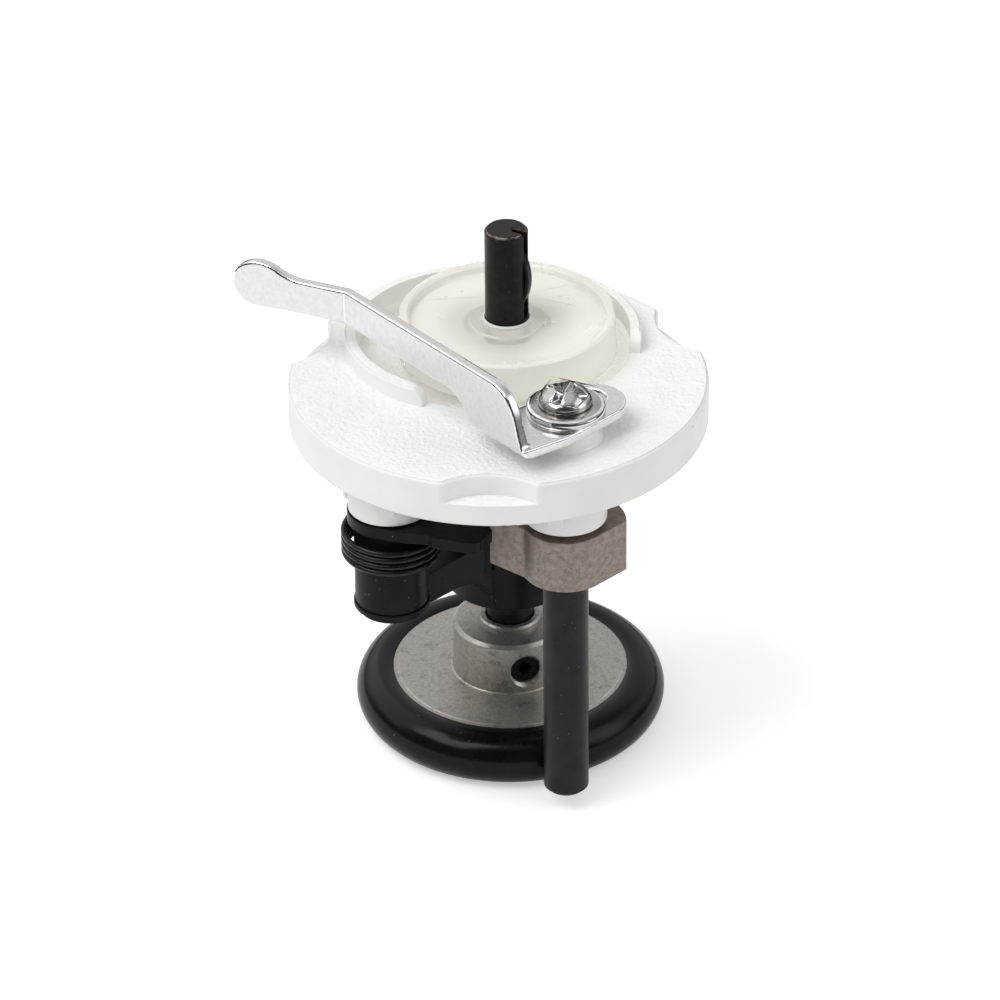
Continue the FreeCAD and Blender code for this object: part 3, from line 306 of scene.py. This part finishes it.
finishes = {
    "blackOxide": surface("black oxide", {
        "tone": (0.008, 0.007, 0.006), "second": (0.014, 0.011, 0.009), "gloss": 0.16, "rough": 0.3,
        "cloud": 1.2, "grain": 0.12, "depth": 0.01,
        "dust": (0.16, 0.13, 0.11), "dustShare": 0.04, "dustSize": 0.35, "dustDot": 0.12,
        # bare bronze on the rubbed rim of the pin: real wear, no painted highlight
        "wearAndHighlight": (0.24, 0.165, 0.12), "wornFrom": 14.0, "wornTo": 14.3}),
    "chromeFace": surface("chrome face", {
        "tone": (0.775, 0.775, 0.78), "second": (0.715, 0.715, 0.72), "metal": 1.0, "rough": 0.22,
        "cloud": 0.7, "grain": 0.2, "depth": 0.012, "roughRange": 0.05, "edge": 0.05,
        "scuff": (0.40, 0.39, 0.38), "scuffPlace": (-22.39, -5.67), "scuffReach": 0.9}),
    # lighter, smoother metal on rolled rims and bevels: the smoothness is their finish, the lighter tone a
    # painted highlight
    "shinyEdgeHighlight": surface("shiny edge highlight", {
        "tone": (0.86, 0.86, 0.865), "second": (0.80, 0.80, 0.805), "metal": 1.0, "rough": 0.06,
        "grain": 1.2, "depth": 0.004, "roughRange": 0.05, "edge": 0.02}),
    "zincSteel": surface("zinc steel", {
        "tone": (0.55, 0.53, 0.51), "second": (0.38, 0.365, 0.35), "metal": 1.0, "rough": 0.17,
        "grain": 0.3, "depth": 0.012, "edge": 0.1,
        "stain": (0.16, 0.145, 0.13), "stainSize": 0.8, "stainShare": 0.4}),
    "sinteredCam": surface("sintered cam", {
        "tone": (0.22, 0.18, 0.155), "second": (0.31, 0.265, 0.235), "metal": 0.6, "rough": 0.4,
        "cloud": 0.8, "grain": 0.16, "depth": 0.03, "edge": 0.3,
        "stain": (0.15, 0.115, 0.09), "stainSize": 1.4, "stainShare": 0.22,
        "pits": 0.32, "pitTone": (0.05, 0.04, 0.03)}),
    "sinteredWheel": surface("sintered wheel", {
        "tone": (0.36, 0.335, 0.31), "second": (0.45, 0.425, 0.395), "metal": 0.75, "rough": 0.36,
        "cloud": 0.5, "grain": 0.14, "depth": 0.025, "edge": 0.12,
        "stain": (0.22, 0.195, 0.17), "stainSize": 1.9, "stainShare": 0.5,
        "pits": 0.3, "pitTone": (0.08, 0.07, 0.06),
        # rim: painted highlight along the edge of the disc, brighter at the front
        "rim": (0.62, 0.60, 0.57), "rimFrom": 16.05, "rimTo": 16.4}),
    "tyreRubber": surface("tyre rubber", {
        "tone": (0.004, 0.004, 0.004), "second": (0.006, 0.006, 0.006), "gloss": 0.16, "rough": 0.2,
        "grain": 0.5, "dust": (0.10, 0.10, 0.10), "dustShare": 0.05, "dustSize": 1.2}),
    "blackPlastic": surface("black plastic", {
        "tone": (0.005, 0.005, 0.0055), "second": (0.008, 0.008, 0.0085), "gloss": 0.12, "rough": 0.33,
        "grain": 0.4, "edge": 0.25, "dust": (0.30, 0.29, 0.27), "dustShare": 0.08, "dustSize": 0.5}),
    "darkShaft": surface("dark shaft", {
        "tone": (0.014, 0.014, 0.015), "second": (0.02, 0.02, 0.0215), "metal": 0.15, "gloss": 0.17,
        "rough": 0.34, "grain": 0.25, "depth": 0.012, "stretch": (1.0, 1.0, 0.2),
        "dust": (0.2, 0.2, 0.2), "dustShare": 0.08, "dustSize": 0.5}),
    "springSteel": surface("spring steel", {
        "tone": (0.012, 0.012, 0.013), "second": (0.024, 0.024, 0.025), "metal": 0.5, "gloss": 0.35,
        "rough": 0.2, "depth": 0.008}),
    "bronze": surface("bronze", {
        "tone": (0.42, 0.27, 0.12), "second": (0.30, 0.18, 0.08), "metal": 0.9, "rough": 0.4,
        "grain": 0.15, "pits": 0.3, "pitTone": (0.08, 0.05, 0.02)}),
    "whitePlastic": whitePlastic(),
    "milkyPlastic": milkyPlastic(),
}
print("finishes made:", len(finishes))


# Each CAD node wears its finish
wearsFinish = {
    "base_plate": "whitePlastic", "lever_bush": "bronze", "arm_pivot_pin": "zincSteel",
    "pivot_washer": "blackPlastic", "pivot_clip_ring": "blackPlastic", "swing_arm": "blackPlastic",
    "upper_spindle_bush": "bronze", "lower_spindle_bush": "bronze", "return_spring": "springSteel",
    "bobbin_spindle": "blackOxide", "bobbin_clip_pin": "blackOxide", "bobbin_clip": "blackOxide",
    "bobbin_table": "milkyPlastic", "table_sleeve": "blackOxide", "wheel_sleeve": "blackOxide",
    "drive_wheel": "sinteredWheel", "wheel_set_screw": "blackOxide", "friction_tyre": "tyreRubber",
    "lever_shaft": "darkShaft", "trip_lever": "chromeFace", "lever_washer": "zincSteel",
    "lever_screw": "zincSteel", "trip_cam": "sinteredCam", "cam_set_screw": "blackOxide",
}
for name, finish in wearsFinish.items():
    for slot in nodes[name].material_slots:
        slot.material = finishes[finish]


def linked(name, data):
    made = bpy.data.objects.new(name, data)
    bpy.context.scene.collection.objects.link(made)
    return made


def settle(made):  # its modifiers become its mesh
    settled = bpy.data.meshes.new_from_object(made.evaluated_get(bpy.context.evaluated_depsgraph_get()))
    made.modifiers.clear()
    made.data = settled
    settled.shade_smooth()


# Copy of a CAD node's mesh with its doubled corners merged and its flat faces made whole
def mergedCopy(node, name):
    join = {"gap": 0.002, "flat": 0.6}
    mesh = nodes[node].data.copy()
    mesh.name = name
    cage = bmesh.new()
    cage.from_mesh(mesh)
    bmesh.ops.remove_doubles(cage, verts=cage.verts, dist=join["gap"] * mm)
    flat = math.radians(join["flat"])
    bmesh.ops.dissolve_limit(cage, angle_limit=flat, verts=cage.verts, edges=cage.edges)
    cage.to_mesh(mesh)
    cage.free()
    return mesh


# A CAD node of strip with every rim rolled round: an even mesh is smoothed, and what has turned gets the
# lighter edge metal, a painted highlight
def rolledCopy(name, rim):
    mesh = mergedCopy(name, rim["name"])
    sharp = BVHTree.FromPolygons([vertex.co.copy() for vertex in mesh.vertices],
                                 [tuple(face.vertices) for face in mesh.polygons])
    made = linked(rim["name"], mesh)
    even = made.modifiers.new("even", "REMESH")
    even.mode = "VOXEL"
    even.voxel_size = rim["voxel"] * mm
    smooth = made.modifiers.new("smooth", "SMOOTH")
    smooth.factor = 0.5
    smooth.iterations = rim["passes"]
    settle(made)
    made.data.materials.clear()
    for finish in rim["finishes"]:
        made.data.materials.append(finishes[finish])
    limit = math.cos(math.radians(rim["turned"]))
    for face in made.data.polygons:
        flat = sharp.find_nearest(face.center)[1]
        face.material_index = 0 if face.normal.dot(flat) > limit else 1
    return made


# A CAD node with small bevels in the lighter edge metal, a painted highlight
def bevelledCopy(name, rim):
    mesh = mergedCopy(name, rim["name"])
    made = linked(rim["name"], mesh)
    mesh.materials.clear()
    for finish in rim["finishes"]:
        mesh.materials.append(finishes[finish])
    bevel = made.modifiers.new("rim", "BEVEL")
    bevel.width = rim["width"] * mm
    bevel.segments = rim["segments"]
    bevel.limit_method = "ANGLE"
    bevel.angle_limit = math.radians(rim["angle"])
    bevel.material = len(rim["finishes"]) - 1
    bevel.use_clamp_overlap = False
    settle(made)
    return made


leverRim = {"name": "rolled_lever", "voxel": 0.15, "passes": 28, "turned": 8,
            "finishes": ["chromeFace", "shinyEdgeHighlight"]}
lever = rolledCopy("trip_lever", leverRim)
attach(lever, "lever")
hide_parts("trip_lever")

washerRim = {"name": "rolled_washer", "width": 0.3, "segments": 4, "angle": 32,
             "finishes": ["zincSteel", "shinyEdgeHighlight"]}
washer = bevelledCopy("lever_washer", washerRim)
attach(washer, "lever")
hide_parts("lever_washer")

screwRim = {"name": "rolled_screw", "width": 0.16, "segments": 3, "angle": 32,
            "finishes": ["zincSteel", "shinyEdgeHighlight"]}
screw = bevelledCopy("lever_screw", screwRim)
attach(screw, "lever")
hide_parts("lever_screw")
print("lever, washer and screw rolled")


# Spring clip of the spindle, sprung out further than the plain CAD clip
def sprungClip():
    clip = {"turn": -28.0, "middle": 6.8, "half": 5.2, "out": 0.49}
    mesh = mergedCopy("bobbin_clip", "sprung_clip")
    outward = Vector((math.cos(math.radians(clip["turn"])), math.sin(math.radians(clip["turn"])), 0.0))
    for vertex in mesh.vertices:
        along = (vertex.co.z / mm - clip["middle"]) / clip["half"]
        vertex.co += outward * clip["out"] * mm * max(0.0, 1 - along * along)
    mesh.materials.clear()
    mesh.materials.append(finishes["blackOxide"])
    made = linked("sprung_clip", mesh)
    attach(made, "clip")
    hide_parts("bobbin_clip")


# Pale collar that stands round the foot of the spindle
def footRing():
    ring = {"inner": 3.07, "outer": 3.42, "low": -0.1, "high": 0.5, "round": 0.14, "sides": 96, "steps": 5}
    profile = []
    for edge, turn in ((ring["outer"] - ring["round"], 0), (ring["inner"] + ring["round"], 90)):
        for step in range(ring["steps"]):
            lean = math.radians(turn + 90 * step / (ring["steps"] - 1))
            height = ring["high"] + ring["round"] * (math.sin(lean) - 1)
            profile.append((edge + ring["round"] * math.cos(lean), height))
    profile = [(ring["outer"], ring["low"])] + profile + [(ring["inner"], ring["low"])]
    count = len(profile)
    verts = []
    faces = []
    for side in range(ring["sides"]):
        turn = 2 * math.pi * side / ring["sides"]
        for reach, height in profile:
            verts.append((reach * math.cos(turn) * mm, reach * math.sin(turn) * mm, height * mm))
        over = (side + 1) % ring["sides"] * count
        for step in range(count):
            after = (step + 1) % count
            faces.append((side * count + step, over + step, over + after, side * count + after))
    mesh = bpy.data.meshes.new("foot_ring")
    mesh.from_pydata(verts, [], faces)
    mesh.shade_smooth()
    mesh.materials.append(finishes["whitePlastic"])
    made = linked("foot_ring", mesh)
    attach(made, "spindle")


# Return spring: one wire swept along its coil and its two straight legs
def woundSpring():
    spring = {"Turns": 3.75, "Pitch": 1.02, "Coil radius": 6.45, "Wire radius": 0.43, "Start angle": 160.0,
              "Centre x": -16.45, "Centre y": -20.9, "Top": -21.15, "Upper leg": 7.5, "Lower leg": 4.0}
    counts = {"points": 360, "sides": 14}
    tree = bpy.data.node_groups.new("wound spring", "GeometryNodeTree")
    tree.interface.new_socket("Geometry", in_out="OUTPUT", socket_type="NodeSocketGeometry")
    for name in spring:
        tree.interface.new_socket(name, in_out="INPUT", socket_type="NodeSocketFloat")
    entry = tree.nodes.new("NodeGroupInput")
    given = {socket.name: Wire(tree, socket) for socket in entry.outputs if socket.name}
    radius = given["Coil radius"]
    arc = given["Turns"] * radius * (2 * math.pi)
    total = given["Upper leg"] + arc + given["Lower leg"]
    index = radius.node("GeometryNodeInputIndex")
    travelled = index / float(counts["points"] - 1) * total - given["Upper leg"]
    wound = travelled.least(arc).most(0.0)
    straight = travelled - wound
    angle = given["Start angle"] * (math.pi / 180) + wound / radius
    cosine = angle.sum("COSINE", angle)
    sine = angle.sum("SINE", angle)
    x = given["Centre x"] + cosine * radius - sine * straight
    y = given["Centre y"] + sine * radius + cosine * straight
    z = given["Top"] - travelled / (radius * (2 * math.pi)) * given["Pitch"]
    place = radius.node("ShaderNodeCombineXYZ", values={0: x * mm, 1: y * mm, 2: z * mm})
    line = radius.node("GeometryNodeMeshLine", values={"Count": counts["points"]})
    curve = radius.node("GeometryNodeMeshToCurve", values={"Mesh": line})
    curve = radius.node("GeometryNodeSetPosition", values={"Geometry": curve, "Position": place})
    circle = radius.node("GeometryNodeCurvePrimitiveCircle", values={
        "Resolution": counts["sides"], "Radius": given["Wire radius"] * mm})
    tube = radius.node("GeometryNodeCurveToMesh", values={
        "Curve": curve, "Profile Curve": circle, "Fill Caps": True})
    tube = radius.node("GeometryNodeRealizeInstances", values={"Geometry": tube})
    tube = radius.node("GeometryNodeSetMaterial", values={
        "Geometry": tube, "Material": finishes["springSteel"]})
    exit = tree.nodes.new("NodeGroupOutput")
    tree.links.new(tube.socket, exit.inputs["Geometry"])
    made = linked("wound_spring", bpy.data.meshes.new("wound_spring"))
    grow = made.modifiers.new("grow", "NODES")
    grow.node_group = tree
    for item in tree.interface.items_tree:
        if item.in_out == "INPUT":
            grow[item.identifier] = spring[item.name]
    settle(made)
    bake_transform(made)
    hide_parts("return_spring")


sprungClip()
footRing()
woundSpring()
print("clip, ring and spring made")


# Pale floor: it glows for the camera and through clear plastic, and less in what mirrors it
def stageFloor():
    look = {"size": 0.8, "albedo": (0.8, 0.8, 0.8), "glow": 0.42, "mirrored": 0.2}
    mesh = bpy.data.meshes.new("floor")
    half = look["size"] / 2
    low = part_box("friction_tyre")[0].z
    corners = [(-half, -half, low), (half, -half, low), (half, half, low), (-half, half, low)]
    mesh.from_pydata(corners, [], [(0, 1, 2, 3)])
    floor = linked("floor", mesh)
    material = bpy.data.materials.new("pale floor")
    material.use_nodes = True
    tree = material.node_tree
    tree.nodes.remove(tree.nodes["Principled BSDF"])
    rays = tree.nodes.new("ShaderNodeLightPath")
    camera = Wire(tree, rays.outputs["Is Camera Ray"])
    plain = camera.most(Wire(tree, rays.outputs["Is Transmission Ray"]))
    mirrored = Wire(tree, rays.outputs["Is Glossy Ray"])
    paint = camera.node("ShaderNodeBsdfDiffuse", values={"Color": (*look["albedo"], 1.0)})
    glow = camera.node("ShaderNodeEmission", values={
        "Strength": (plain * look["glow"]).most(mirrored * look["mirrored"])})
    both = camera.node("ShaderNodeAddShader", values={0: paint, 1: glow})
    tree.links.new(both.socket, tree.nodes["Material Output"].inputs["Surface"])
    mesh.materials.append(material)


# Surroundings: white to the camera, soft for the light, and dark with bright panels for what mirrors them
def studioWorld():
    look = {"ambient": 0.515, "lean": -0.05, "lift": 0.18, "shown": 1.0, "dark": 0.05,
            "left": 1.3, "leftEdge": (0.1, 0.3), "leftFront": (-0.15, 0.1),
            "right": 0.9, "rightEdge": (0.4, 0.85), "lower": (0.22, 0.36), "upper": (0.9, 0.96),
            "back": 0.75, "backEdge": (0.2, 0.7),
            "top": 0.75, "topEdge": (0.75, 0.95), "horizon": (0.05, 0.16)}
    world = bpy.data.worlds.new("studio")
    bpy.context.scene.world = world
    world.use_nodes = True
    tree = world.node_tree
    rays = tree.nodes.new("ShaderNodeLightPath")
    camera = Wire(tree, rays.outputs["Is Camera Ray"]).most(Wire(tree, rays.outputs["Is Transmission Ray"]))
    places = tree.nodes.new("ShaderNodeTexCoord")
    split = camera.node("ShaderNodeSeparateXYZ", values={0: Wire(tree, places.outputs["Generated"])})
    across, away, height = [Wire(tree, output) for output in split.socket.node.outputs]
    glossy = Wire(tree, rays.outputs["Is Glossy Ray"])
    panels = (0 - across).step(*look["leftEdge"]) * away.step(*look["leftFront"]) * look["left"]
    panels = panels.most(across.step(*look["rightEdge"]) * look["right"])
    panels = panels * height.step(*look["lower"]) * (1 - height.step(*look["upper"]))
    panels = panels.most(away.step(*look["backEdge"]) * look["back"])
    panels = panels.most(height.step(*look["topEdge"]) * look["top"])
    mirrored = look["dark"] + panels * height.step(*look["horizon"])
    ambient = look["ambient"] + across * look["lean"] + height * look["lift"]
    strength = camera * look["shown"] + (1 - camera) * ((1 - glossy) * ambient + glossy * mirrored)
    tree.links.new(strength.socket, tree.nodes["Background"].inputs["Strength"])
    tree.nodes["Background"].inputs["Color"].default_value = (1.0, 1.0, 1.0, 1.0)


def softbox(name, box):
    light = bpy.data.lights.new(name, "AREA")
    light.shape = "RECTANGLE"
    light.size, light.size_y = box["size"]
    light.energy = box["power"]
    holder = linked(name, light)
    holder.location = box["place"]
    aim = Vector(box["aim"]) - Vector(box["place"])
    holder.rotation_euler = aim.to_track_quat("-Z", "Y").to_euler()


# Camera at the photograph's angle
def photoCamera():
    view = {"tilt": 31.813, "roll": -0.62525, "away": 0.75, "aim": (-0.00125, 0.0, -0.02977),
            "lens": 189.57, "near": 0.05, "far": 20.0}
    tilt = math.radians(view["tilt"])
    roll = math.radians(view["roll"])
    ahead = Vector((0.0, math.cos(tilt), -math.sin(tilt)))
    flatRight = Vector((1.0, 0.0, 0.0))
    flatUp = flatRight.cross(ahead)
    right = math.cos(roll) * flatRight + math.sin(roll) * flatUp
    up = math.cos(roll) * flatUp - math.sin(roll) * flatRight
    lens = bpy.data.cameras.new("photo camera")
    lens.lens = view["lens"]
    lens.clip_start = view["near"]
    lens.clip_end = view["far"]
    camera = linked("photo camera", lens)
    turn = Matrix((right, up, -ahead)).transposed().to_4x4()
    place = Vector(view["aim"]) - ahead * view["away"]
    camera.matrix_world = Matrix.Translation(place) @ turn
    bpy.context.scene.camera = camera


stageFloor()
studioWorld()
softbox("key light", {
    "size": (0.7, 0.7), "power": 6.0, "place": (-0.5, -0.25, 0.85), "aim": (0.0, 0.0, 0.0)})
softbox("side light", {
    "size": (0.5, 0.9), "power": 1.6, "place": (0.8, -0.2, 0.45), "aim": (0.0, 0.0, -0.02)})
photoCamera()
bpy.context.scene.view_settings.view_transform = "Standard"
print("stage set")
